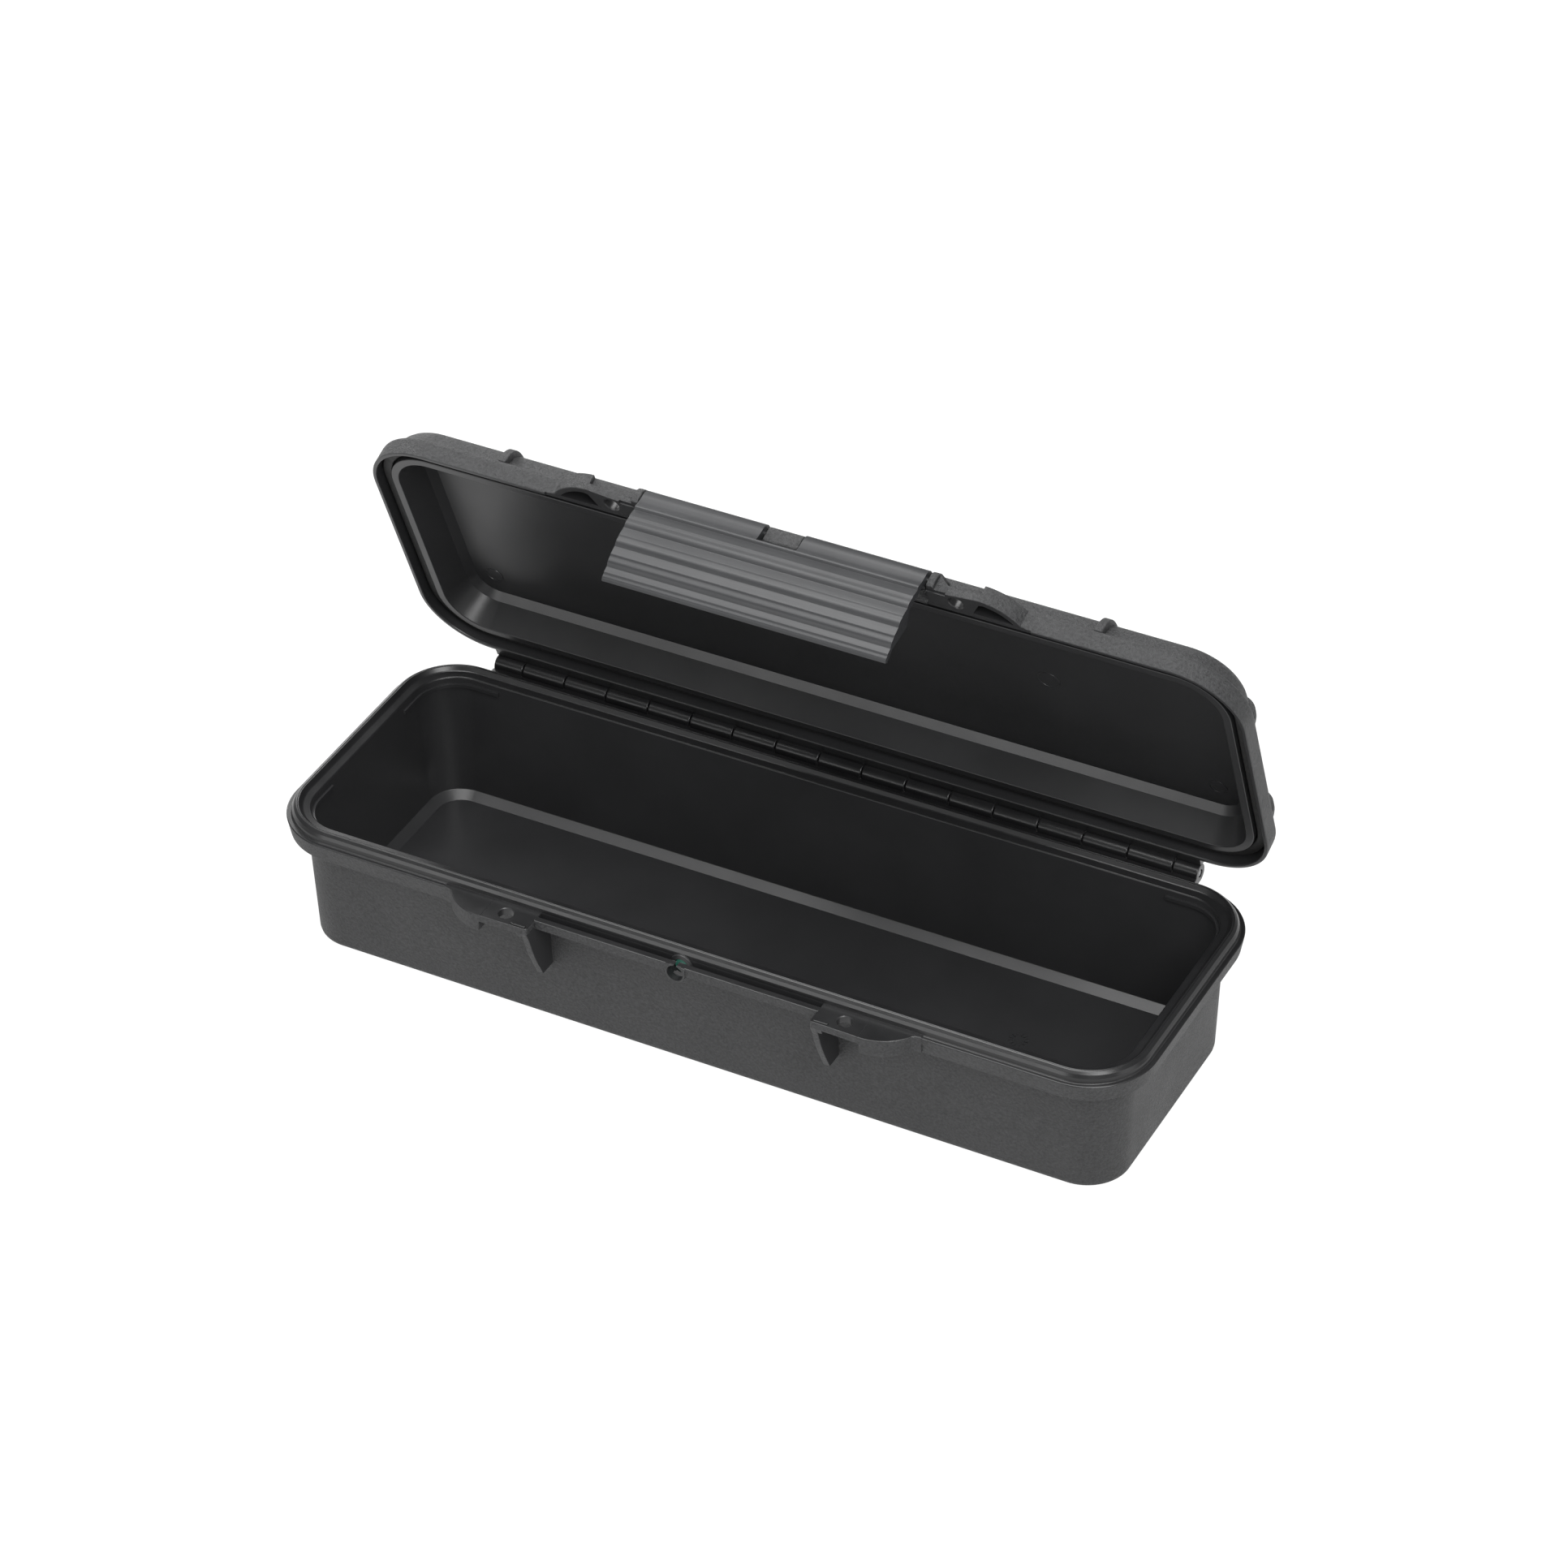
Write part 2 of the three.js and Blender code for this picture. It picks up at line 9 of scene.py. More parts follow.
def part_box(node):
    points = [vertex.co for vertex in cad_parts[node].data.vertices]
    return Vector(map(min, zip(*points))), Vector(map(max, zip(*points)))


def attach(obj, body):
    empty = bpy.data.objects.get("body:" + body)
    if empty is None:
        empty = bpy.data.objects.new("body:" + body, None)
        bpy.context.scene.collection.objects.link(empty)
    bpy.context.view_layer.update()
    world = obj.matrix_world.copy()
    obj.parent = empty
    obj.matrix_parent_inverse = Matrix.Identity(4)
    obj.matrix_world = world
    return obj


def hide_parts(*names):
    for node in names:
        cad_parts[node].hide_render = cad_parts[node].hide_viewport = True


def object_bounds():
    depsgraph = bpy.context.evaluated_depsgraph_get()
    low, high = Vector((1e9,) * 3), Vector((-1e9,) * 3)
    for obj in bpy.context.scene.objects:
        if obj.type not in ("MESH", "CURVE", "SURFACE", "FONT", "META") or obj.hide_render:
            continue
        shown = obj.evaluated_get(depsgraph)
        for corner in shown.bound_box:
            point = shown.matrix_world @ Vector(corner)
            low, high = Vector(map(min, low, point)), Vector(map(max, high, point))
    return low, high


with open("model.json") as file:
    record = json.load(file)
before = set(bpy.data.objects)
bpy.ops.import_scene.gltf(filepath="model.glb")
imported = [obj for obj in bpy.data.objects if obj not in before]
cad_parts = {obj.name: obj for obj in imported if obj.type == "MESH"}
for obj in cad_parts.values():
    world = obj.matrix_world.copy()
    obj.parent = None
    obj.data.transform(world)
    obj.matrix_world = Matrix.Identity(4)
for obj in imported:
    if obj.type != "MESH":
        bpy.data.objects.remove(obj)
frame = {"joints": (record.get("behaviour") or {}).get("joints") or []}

# A slim latched utility case with its lid open. Shapes are worked out in millimetres with the lid
# shut, the way the parts are moulded, and are then turned open about the hinge.

cad_box = [list(corner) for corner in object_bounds()]

# ---------- driving sizes, millimetres ----------
MM = 0.001
joints = {joint["name"]: joint for joint in frame["joints"]}
LID_OPEN = math.radians(joints["lid_hinge"]["range_deg"][1])
HINGE_Y, HINGE_Z = (value / MM for value in joints["lid_hinge"]["pos_m"][1:])
RIM_OVERHANG = 9.28  # from the mouth out to the rim's edge
HALF_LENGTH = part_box("base_shell")[1].x / MM - RIM_OVERHANG
HALF_DEPTH = 51.98
MOUTH_RADIUS = 16.77
CORNER_STEPS = 22
BRACKET_X = 57.1
HINGE_LEFT = -148.4
HINGE_RIGHT = 145.2
KNUCKLE_PITCH = 18.07
KNUCKLE_CENTRE_X = -0.4
KNUCKLE_GAPS = 16  # between the 17 knuckles
KNUCKLE_RADIUS = 3.8
KNUCKLE_GAP = 0.4
KNUCKLE_CLEARANCE = 0.45  # round a knuckle, to the strip behind it
ROD_RADIUS = 1.5
PIN_INSET = 0.6  # the hinge pin's ends, inside the end knuckles' faces
LATCH_PIN_HALF = 59.6
BORE_RADIUS = 1.6
PIVOT_Y = -66.5
PIVOT_Z = 59.5
BARREL_RADIUS = 3.3
LATCH_HALF_WIDTH = 56.2
LATCHED_TURN = math.radians(joints["latch_pivot"]["range_deg"][1])
CENTRE_KNUCKLE_HALF = 7
NOTCH_GAP = 0.9  # each side, from the centre knuckle to the latch
PADLOCK_X = 68.4
PADLOCK_Y = -65.1
PADLOCK_RADIUS = 2.9
COUNTERSINK = 0.3
BASE_PLATE_TOP = 54.4
LID_PLATE_BOTTOM = 54.8
LUG_X, LUG_Y, LUG_RADIUS = 77, -51.6, 19.3
RAIL_FRONT_Y = -64.5
RAIL_BACK_Y = -61.9
RAIL_TOP = 54.5
RAIL_WEB_BOTTOM = 48.9
VENT_X = 0.4
VENT_Z = 51.3
RIB_X = 118.9
END_RIB_Y = 29.5
RIB_HALF_WIDTH = 1.6
EJECTOR_RINGS = [(4.25, 88.5, -6.6), (3.5, 149.5, 32.8), (3.5, -149.5, 33.2)]  # radius, x, y
TICK_RING_X = 100.9
TICK_RING_Y = 9.4

# Finish numbers: the order of the materials on the two shells.
TEXTURED, SATIN, GLOSSY = 0, 1, 2
PLAIN = 0  # the only material of every other piece

# ---------- camera and room, metres and watts ----------
CAMERA_PLACE = (0.7575, -1.3951, 1.29336)
CAMERA_AZIMUTH = math.radians(28.1466)
CAMERA_ELEVATION = math.radians(37.1321)
CAMERA_ROLL = math.radians(-1.0161)
FOCAL_LENGTH_MM = 127.214
SENSOR_WIDTH_MM = 36
LIGHT_TARGET = (0, 0, 0.05)
LIGHTS = [  # name, place, width, height, power
    ("overhead", (-0.2, -0.05, 1.8), 1.5, 1.3, 42),
    ("high_right", (0.95, -0.85, 1.3), 0.8, 0.8, 20),
    ("back_left", (-1.3, 1.1, 0.75), 0.9, 0.7, 13),
    ("right", (1.8, -0.1, 0.7), 1, 0.8, 4),
    ("front", (-0.6, -1.65, 0.6), 1, 0.5, 6),
]
WORLD_STRENGTH = 0.21
FLOOR_RADIUS = 18
FLOOR_GAP = 0.0002  # under the case, so that the two surfaces never coincide


# ---------- camera ----------
def add_camera():
    right = Vector((math.cos(CAMERA_AZIMUTH), math.sin(CAMERA_AZIMUTH), 0))
    back = Vector((
        math.sin(CAMERA_AZIMUTH) * math.cos(CAMERA_ELEVATION),
        -math.cos(CAMERA_AZIMUTH) * math.cos(CAMERA_ELEVATION),
        math.sin(CAMERA_ELEVATION),
    ))
    up = back.cross(right)
    turned_right = math.cos(CAMERA_ROLL) * right + math.sin(CAMERA_ROLL) * up
    turned_up = math.cos(CAMERA_ROLL) * up - math.sin(CAMERA_ROLL) * right
    axes = Matrix((turned_right, turned_up, back)).transposed().to_4x4()
    data = bpy.data.cameras.new("camera")
    data.sensor_width = SENSOR_WIDTH_MM
    data.lens = FOCAL_LENGTH_MM
    data.clip_end = 2 * FLOOR_RADIUS + 4
    camera = bpy.data.objects.new("camera", data)
    camera.matrix_world = Matrix.Translation(CAMERA_PLACE) @ axes
    bpy.context.scene.collection.objects.link(camera)
    bpy.context.scene.camera = camera


# ---------- solids ----------
def placed(axis, a, b, along):
    """A point of a section in the plane across `axis`, at a distance along it."""
    if axis == "X":
        return Vector((along, a, b)) * MM
    if axis == "Y":
        return Vector((a, along, b)) * MM
    return Vector((a, b, along)) * MM


def solid(name, mesh_builder, finish):
    """An object with every finish's slot on it, so that booleans keep each face's finish. With
    `finish` as None the faces keep the numbers they have."""
    mesh = bpy.data.meshes.new(name)
    bmesh.ops.recalc_face_normals(mesh_builder, faces=mesh_builder.faces)
    if finish is not None:
        for face in mesh_builder.faces:
            face.material_index = finish
    mesh_builder.to_mesh(mesh)
    mesh_builder.free()
    for material in shell_finishes:
        mesh.materials.append(material)
    piece = bpy.data.objects.new(name, mesh)
    bpy.context.scene.collection.objects.link(piece)
    return piece


def round_edges(mesh_builder, width, segments, sharper_than=26):
    sharp = [
        edge for edge in mesh_builder.edges
        if edge.calc_face_angle(0) > math.radians(sharper_than)
    ]
    bmesh.ops.bevel(
        mesh_builder, geom=sharp, offset=width * MM, offset_type="OFFSET",
        segments=segments, profile=0.5, affect="EDGES", clamp_overlap=True,
    )


def prism(axis, outline, low, high, finish=TEXTURED, rounding=0.3, segments=2):
    mesh_builder = bmesh.new()
    ends = [
        [mesh_builder.verts.new(placed(axis, a, b, along)) for a, b in outline]
        for along in (low, high)
    ]
    mesh_builder.faces.new(ends[0])
    mesh_builder.faces.new(ends[1][::-1])
    for i in range(len(outline)):
        j = (i + 1) % len(outline)
        mesh_builder.faces.new((ends[0][i], ends[1][i], ends[1][j], ends[0][j]))
    bmesh.ops.recalc_face_normals(mesh_builder, faces=mesh_builder.faces)
    if rounding:
        round_edges(mesh_builder, rounding, segments)
    return solid("prism", mesh_builder, finish)


def block(x0, x1, y0, y1, z0, z1, finish=TEXTURED, rounding=0.3):
    outline = [(x0, y0), (x1, y0), (x1, y1), (x0, y1)]
    return prism("Z", outline, z0, z1, finish, rounding)


def facing_finish(piece, finish, direction=(0, 0, 1)):
    """Gives the faces that look in the direction a finish of their own."""
    for face in piece.data.polygons:
        if face.normal.dot(Vector(direction)) > 0.7:
            face.material_index = finish
    return piece


def circle(radius, a, b, steps=40):
    angles = [2 * math.pi * i / steps for i in range(steps)]
    return [(a + radius * math.cos(t), b + radius * math.sin(t)) for t in angles]


def turned(axis, section, a, b, finish=SATIN, steps=48):
    """A closed section of (radius, along) points turned about a line along `axis`."""
    mesh_builder = bmesh.new()
    rings = [
        [
            mesh_builder.verts.new(placed(
                axis,
                a + radius * math.cos(2 * math.pi * i / steps),
                b + radius * math.sin(2 * math.pi * i / steps),
                along,
            ))
            for radius, along in section
        ]
        for i in range(steps)
    ]
    for i in range(steps):
        here, there = rings[i], rings[(i + 1) % steps]
        for k in range(len(section)):
            n = (k + 1) % len(section)
            if section[k][0] > 0 or section[n][0] > 0:
                mesh_builder.faces.new((here[k], here[n], there[n], there[k]))
    bmesh.ops.remove_doubles(mesh_builder, verts=mesh_builder.verts, dist=1e-7)
    bmesh.ops.dissolve_degenerate(mesh_builder, edges=mesh_builder.edges, dist=1e-8)
    return solid("turned", mesh_builder, finish)


def softened(profile, radius, steps=4):
    """The profile with its corners rounded, and which of its own bands each new band belongs to."""
    points = [Vector(profile[0])]
    bands = []
    for k in range(1, len(profile) - 1):
        before, corner, after = (Vector(profile[k + i]) for i in (-1, 0, 1))
        back, on = before - corner, after - corner
        turn = math.pi - back.angle(on)
        reach = min(radius * math.tan(turn / 2), 0.42 * back.length, 0.42 * on.length)
        start = corner + back.normalized() * reach
        end = corner + on.normalized() * reach
        bands.append(k - 1)
        points.append(start)
        for i in range(1, steps + 1):
            t = i / steps
            points.append(start * (1 - t) ** 2 + corner * 2 * t * (1 - t) + end * t * t)
            bands.append(k - 1 if t <= 0.5 else k)
    points.append(Vector(profile[-1]))
    bands.append(len(profile) - 2)
    return points, bands


def mouth_loop(offset, z):
    """A rounded rectangle, `offset` outside the mouth, at height z."""
    a = HALF_LENGTH - MOUTH_RADIUS
    b = HALF_DEPTH - MOUTH_RADIUS
    radius = MOUTH_RADIUS + offset
    points = []
    for quarter, (x, y) in enumerate([(a, b), (-a, b), (-a, -b), (a, -b)]):
        for i in range(CORNER_STEPS + 1):
            angle = (quarter + i / CORNER_STEPS) * math.pi / 2
            points.append(Vector((x + radius * math.cos(angle), y + radius * math.sin(angle), z)) * MM)
    return points


def mouth_wall(profile, finishes, closed=False):
    """A wall of that section run round the mouth: a ring if closed, or else capped flat at both ends.
    `finishes` has one for each band of the section, and one more for the last cap."""
    points, bands = (profile, range(len(profile))) if closed else softened(profile, 0.45)
    mesh_builder = bmesh.new()
    loops = [[mesh_builder.verts.new(p) for p in mouth_loop(offset, z)] for offset, z in points]
    count = len(loops[0])
    for k, band in enumerate(bands):
        upper = loops[(k + 1) % len(loops)]
        for i in range(count):
            j = (i + 1) % count
            face = mesh_builder.faces.new((loops[k][i], loops[k][j], upper[j], upper[i]))
            face.material_index = finishes[band]
    if not closed:
        for loop, finish in ((loops[0], finishes[0]), (loops[-1], finishes[-1])):
            mesh_builder.faces.new(loop).material_index = finish
    return solid("wall", mesh_builder, None)


def smooth_path(points, steps=5):
    """A smooth curve through the points, with their sharp ends kept."""
    path = [Vector(p) for p in points]
    padded = [2 * path[0] - path[1], *path, 2 * path[-1] - path[-2]]
    curve = []
    for p, q, r, s in zip(padded, padded[1:], padded[2:], padded[3:]):
        for i in range(steps):
            t = i / steps
            curve.append(0.5 * (
                2 * q + (r - p) * t + (2 * p - 5 * q + 4 * r - s) * t * t
                + (3 * q - p - 3 * r + s) * t ** 3
            ))
    return [tuple(p) for p in (*curve, path[-1])]


def combine(body, others, operation):
    for other in others:
        step = body.modifiers.new("step", "BOOLEAN")
        step.operation = operation
        step.solver = "MANIFOLD"
        step.object = other
    evaluated = body.evaluated_get(bpy.context.evaluated_depsgraph_get())
    mesh = bpy.data.meshes.new_from_object(evaluated)
    body.modifiers.clear()
    body.data = mesh
    for other in others:
        bpy.data.objects.remove(other)
    return body


def opened(piece):
    """Turns a piece drawn with the lid shut to where it is with the lid open."""
    hinge = Vector((0, HINGE_Y, HINGE_Z)) * MM
    turn = Matrix.Translation(hinge) @ Matrix.Rotation(-LID_OPEN, 4, "X") @ Matrix.Translation(-hinge)
    piece.data.transform(turn)
    return piece


def shade(piece, materials, sharper_than=32):
    """Smooth faces, sharp edges only where the surface really turns, and the finishes."""
    mesh_builder = bmesh.new()
    mesh_builder.from_mesh(piece.data)
    bmesh.ops.remove_doubles(mesh_builder, verts=mesh_builder.verts, dist=2e-6)
    bmesh.ops.dissolve_degenerate(mesh_builder, edges=mesh_builder.edges, dist=1e-6)
    mesh_builder.to_mesh(piece.data)
    mesh_builder.free()
    for i, material in enumerate(materials):
        piece.data.materials[i] = material
    while len(piece.data.materials) > len(materials):
        piece.data.materials.pop()
    piece.data.shade_smooth()
    piece.data.set_sharp_from_angle(angle=math.radians(sharper_than))
    weighted = piece.modifiers.new("even_normals", "WEIGHTED_NORMAL")
    weighted.keep_sharp = True
    weighted.weight = 80
    return piece


def finished(piece, name, body, node, materials):
    piece.name = name
    piece.data.name = name
    shade(piece, materials)
    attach(piece, body)
    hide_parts(node)
    return piece


# ---------- hinge ----------
def knuckle_spans(first):
    """Every other knuckle along the hinge, from the first or the second."""
    edges = [HINGE_LEFT]
    first_gap = KNUCKLE_CENTRE_X - (KNUCKLE_GAPS - 1) / 2 * KNUCKLE_PITCH
    edges += [first_gap + k * KNUCKLE_PITCH for k in range(KNUCKLE_GAPS)]
    edges.append(HINGE_RIGHT)
    spans = [(a + KNUCKLE_GAP / 2, b - KNUCKLE_GAP / 2) for a, b in zip(edges, edges[1:])]
    return spans[first::2]


def knuckles(first, arm):
    barrel = circle(KNUCKLE_RADIUS, HINGE_Y, HINGE_Z)
    made = []
    for x0, x1 in knuckle_spans(first):
        made.append(prism("X", barrel, x0, x1, GLOSSY, rounding=0.45, segments=3))
        made.append(prism("X", arm, x0, x1, GLOSSY, rounding=0.35))
    return made


def hinge_filler(outline):
    """A strip along the whole hinge, with room left round the other shell's knuckles."""
    clearance = circle(KNUCKLE_RADIUS + KNUCKLE_CLEARANCE, HINGE_Y, HINGE_Z, 64)
    return combine(
        prism("X", outline, HINGE_LEFT, HINGE_RIGHT, GLOSSY, 0.3),
        [prism("X", clearance, HINGE_LEFT - 1, HINGE_RIGHT + 1, GLOSSY, 0)], "DIFFERENCE",
    )


def base_hinge_web():
    """Joins the base's arms and closes the slot below the lid's knuckles."""
    return hinge_filler([(60.6, 53.4), (60.6, 47.2), (61.6, 47.2), (65.6, 49.2), (65.6, 53.4)])


def lid_hinge_strip():
    """Joins the lid's arms and closes the gap above the base's knuckles."""
    return hinge_filler([(60.9, 54.4), (66.2, 54.4), (66.2, 57.3), (63.4, 58.3), (60.9, 60.2)])


def hinge_bore():
    bore = circle(BORE_RADIUS, HINGE_Y, HINGE_Z)
    return prism("X", bore, HINGE_LEFT - 1, HINGE_RIGHT + 1, GLOSSY, 0)


# ---------- brackets ----------
def sided(side, low, high):
    return (low, high) if side > 0 else (-high, -low)


def lug_arc(side, inset, from_degrees, to_degrees, steps=24):
    radius = LUG_RADIUS - inset
    angles = [
        math.radians(from_degrees + (to_degrees - from_degrees) * i / steps) for i in range(steps + 1)
    ]
    return [(side * (LUG_X + radius * math.cos(t)), LUG_Y + radius * math.sin(t)) for t in angles]


def rounded_rectangle(half_x, half_y, radius, x, y, steps=6):
    points = []
    for quarter, (sx, sy) in enumerate([(1, 1), (-1, 1), (-1, -1), (1, -1)]):
        for i in range(steps + 1):
            angle = (quarter + i / steps) * math.pi / 2
            points.append((
                x + sx * (half_x - radius) + radius * math.cos(angle),
                y + sy * (half_y - radius) + radius * math.sin(angle),
            ))
    return points


def base_bracket(side):
    rim_y = -59.2
    blend = [(side * 94.1, -61.6), (side * 96.4, -61.2), (side * 96.4, rim_y)]
    plate = [
        (side * BRACKET_X, rim_y), (side * BRACKET_X, -69.9), (side * (BRACKET_X + 0.6), -70.5),
        *lug_arc(side, 0, -93, -33), *blend,
    ]
    skirt = [(side * 76.6, rim_y), *lug_arc(side, 0, -91, -33), *blend]
    hollow = [(side * 79.3, -62), *lug_arc(side, 2.4, -85, -36.5)]
    claw_front = smooth_path([
        (-70.1, 51), (-68.4, 46.9), (-66.9, 42.1), (-65.2, 37.7), (-63.5, 33.8), (-61.7, 30.2),
        (-60.2, 27),
    ])
    claw = [(-52.5, 51.8), (-70.4, 51.8), *claw_front, (-59.6, 26.6), (-52.5, 26.6)]
    gusset = [(-70.2, 51.8), (-69.6, 49.4), (-67.4, 49.4), (-64, 51.8)]
    end = combine(
        prism("Z", skirt, 47.4, 54.2, rounding=0.4),
        [prism("Z", hollow, 46, 51.4, rounding=0)], "DIFFERENCE",
    )
    return [
        facing_finish(prism("Z", plate, 51.5, BASE_PLATE_TOP, rounding=0.35, segments=3), GLOSSY),
        end,
        facing_finish(
            prism("X", claw, *sided(side, BRACKET_X, 59.7), SATIN, 0.35), TEXTURED, (0, -1, -0.3),
        ),
        prism("X", gusset, *sided(side, 59.5, 61.7), rounding=0.2),
        prism("Z", rounded_rectangle(3, 0.7, 0.65, side * 61, -69.2), 54.2, 54.9, GLOSSY, 0.3, 3),
    ]


def seam_groove(side):
    """The fine line that a mould insert leaves across a lug."""
    x0, x1 = sided(side, 75.95, 76.15)
    return block(x0, x1, -75, -59.9, 54.28, 55, SATIN, 0)


def catch_rail():
    length = BRACKET_X + 0.4
    eye = combine(
        prism("Y", circle(4, VENT_X, VENT_Z), -64.9, -62, rounding=0.25),
        [block(VENT_X - 5, VENT_X + 5, -66, -61, RAIL_TOP, 57, rounding=0)], "DIFFERENCE",
    )
    return [
        facing_finish(
            block(-length, length, RAIL_FRONT_Y, RAIL_BACK_Y, 50.7, RAIL_TOP, rounding=0.35), GLOSSY,
        ),
        block(-length, length, -62.4, -53.2, RAIL_WEB_BOTTOM, 51.3, SATIN, 0.2),
        eye,
        facing_finish(
            block(VENT_X - 4, VENT_X + 4, -64.9, -62, VENT_Z, RAIL_TOP, rounding=0.25), GLOSSY,
        ),
        prism("Y", circle(4.6, VENT_X, VENT_Z), -60.2, -52.8, SATIN, 0.35, 3),
    ]


def padlock_holes(inside, face, outside):
    """Cutters with a slight countersink where they leave the plate through its face."""
    outward = 1 if outside > face else -1
    wide = PADLOCK_RADIUS + COUNTERSINK
    section = [
        (0, inside), (PADLOCK_RADIUS, inside), (PADLOCK_RADIUS, face - outward * COUNTERSINK),
        (wide, face + outward * 0.01), (wide, outside), (0, outside),
    ]
    return [turned("Z", section, side * PADLOCK_X, PADLOCK_Y) for side in (-1, 1)]


# ---------- base ----------
BASE_PROFILE = [
    (-2.1, 0), (-1, 0.25), (-0.2, 0.95), (0.08, 2.1), (1.8, 46.5), (1.97, 51),
    (5.75, 51), (5.65, 46.85), (8.05, 46.85), (9.28, 53.7), (8.98, 54), (7.6, 54),
    (7.35, 54.5), (7.1, 55.9), (6.4, 57.1), (5.5, 57.85), (5.15, 58.02), (4.9, 57.8),
    (4.65, 58), (4.3, 57.9), (3.3, 56.55), (2.9, 56.25), (0.4, 55.75), (0, 55.4),
    (-0.75, 46), (-3.4, 5.1), (-7.2, 2.6),
]
BASE_FINISHES = [TEXTURED] * 9 + [GLOSSY] * 14 + [SATIN] * 4  # outside, rim, inside and floor
FLOOR_Z = BASE_PROFILE[-1][1]


def corner_ledges():
    """Short ledges inside the mouth's four corners, cut from a ring that runs all round."""
    ring = mouth_wall([(0.3, 50.8), (-1.15, 51.6), (-1.15, 53), (0.4, 53)], [SATIN] * 4, closed=True)
    end_x = HALF_LENGTH - 27
    end_y = HALF_DEPTH - 26
    return combine(ring, [
        block(-end_x, end_x, -80, 80, 40, 60, rounding=0),
        block(-190, 190, -end_y, end_y, 40, 60, rounding=0),
    ], "DIFFERENCE")


def ejector_ring(radius, x, y):
    """The fine raised circle that an ejector pin leaves on the lid's panel."""
    root, crest = PANEL_Z + 0.3, PANEL_Z - 0.25
    section = [
        (radius - 0.3, root), (radius - 0.12, crest), (radius + 0.12, crest), (radius + 0.3, root),
    ]
    return turned("Z", section, x, y)


def tick_ring(x, y, z):
    """A plain ring of ticks, like those of a dial."""
    ticks = 12
    made = []
    for i in range(ticks):
        angle = 2 * math.pi * i / ticks
        along = Vector((math.cos(angle), math.sin(angle)))
        across = Vector((-along.y, along.x)) * 0.22
        middle = Vector((x, y))
        inner, outer = middle + along * 2.2, middle + along * 3.7
        outline = [inner - across, outer - across, outer + across, inner + across]
        made.append(prism("Z", outline, z - 0.3, z + 0.3, SATIN, 0))
    return made


def base_moulding():
    wall = mouth_wall(BASE_PROFILE, BASE_FINISHES)
    combine(wall, [
        block(-BRACKET_X, BRACKET_X, -75, -59.4, 40, 60, SATIN, 0),
        block(-BRACKET_X, BRACKET_X, -75, -54.2, 40, RAIL_WEB_BOTTOM, TEXTURED, 0),
    ], "DIFFERENCE")
    arm = [(60.6, 53.4), (60.6, 47.2), (61.6, 47.2), (66.4, 49.6), (HINGE_Y, 49.65), (HINGE_Y, 53.4)]
    combine(wall, [
        corner_ledges(), *base_bracket(1), *base_bracket(-1), *catch_rail(), *knuckles(0, arm),
        base_hinge_web(), *tick_ring(TICK_RING_X, TICK_RING_Y, FLOOR_Z),
    ], "UNION")
    vent_bore = [
        (0, -66), (3.25, -66), (3.25, -61), (2.9, -61), (2.9, -58.4), (2.5, -58.4), (2.5, -50),
        (0, -50),
    ]
    return combine(wall, [
        *padlock_holes(44, BASE_PLATE_TOP, 60), hinge_bore(), seam_groove(1), seam_groove(-1),
        turned("Y", vent_bore, VENT_X, VENT_Z),
    ], "DIFFERENCE")


# ---------- lid, drawn shut ----------
LID_PROFILE = [
    (-7.7, 69.8), (-5, 66.9), (-0.3, 56.65), (2.86, 56.65), (2.9, 60),
    (7.5, 60), (7.6, 54.8), (7.8, 54.3), (9.28, 54.3), (9.28, 60.9), (9.1, 61.8), (8.4, 62.5),
    (6.6, 62.9), (6, 63.6), (5.6, 65), (4.4, 67.8), (3.2, 69.4), (1.9, 70.5), (-0.4, 71.7),
    (-4, 72.3), (-8, 72.4),
]
LID_FINISHES = [SATIN] * 8 + [TEXTURED] * 13  # panel and rim; outside and top
PANEL_Z = LID_PROFILE[0][1]
# The hump a rib makes over the lid's shoulder, as (distance inside the rim's face, z).
RIB_SHOULDER = [
    (0.3, 62.3), (0.7, 65), (1.7, 67.8), (3.7, 70.3), (6.7, 71.9), (11, 72.9), (18, 73.2),
]
RIB_ROOT = [(18, 71.6), (9.5, 70.6), (7.5, 68.4), (6, 64), (5, 62.3)]


def lid_ribs():
    face_y = HALF_DEPTH + RIM_OVERHANG
    face_x = HALF_LENGTH + RIM_OVERHANG
    hump = smooth_path(RIB_SHOULDER)
    front = [(-face_y + inside, z) for inside, z in hump]
    root = [(-face_y + inside, z) for inside, z in RIB_ROOT]
    outline = [
        *front, *[(-y, z) for y, z in front[::-1]], *[(-y, z) for y, z in root[::-1]], *root,
    ]
    ribs = [
        prism("X", outline, side * RIB_X - RIB_HALF_WIDTH, side * RIB_X + RIB_HALF_WIDTH, rounding=0.8,
              segments=4)
        for side in (-1, 1)
    ]
    for side in (-1, 1):
        low = [(side * (face_x - inside - 0.6), z - 0.5) for inside, z in hump]
        end_root = [(side * (face_x - inside), z) for inside, z in RIB_ROOT]
        for row in (-END_RIB_Y, END_RIB_Y):
            ribs.append(prism("Y", [*low, *end_root], row - RIB_HALF_WIDTH, row + RIB_HALF_WIDTH,
                              rounding=0.7, segments=4))
    return ribs


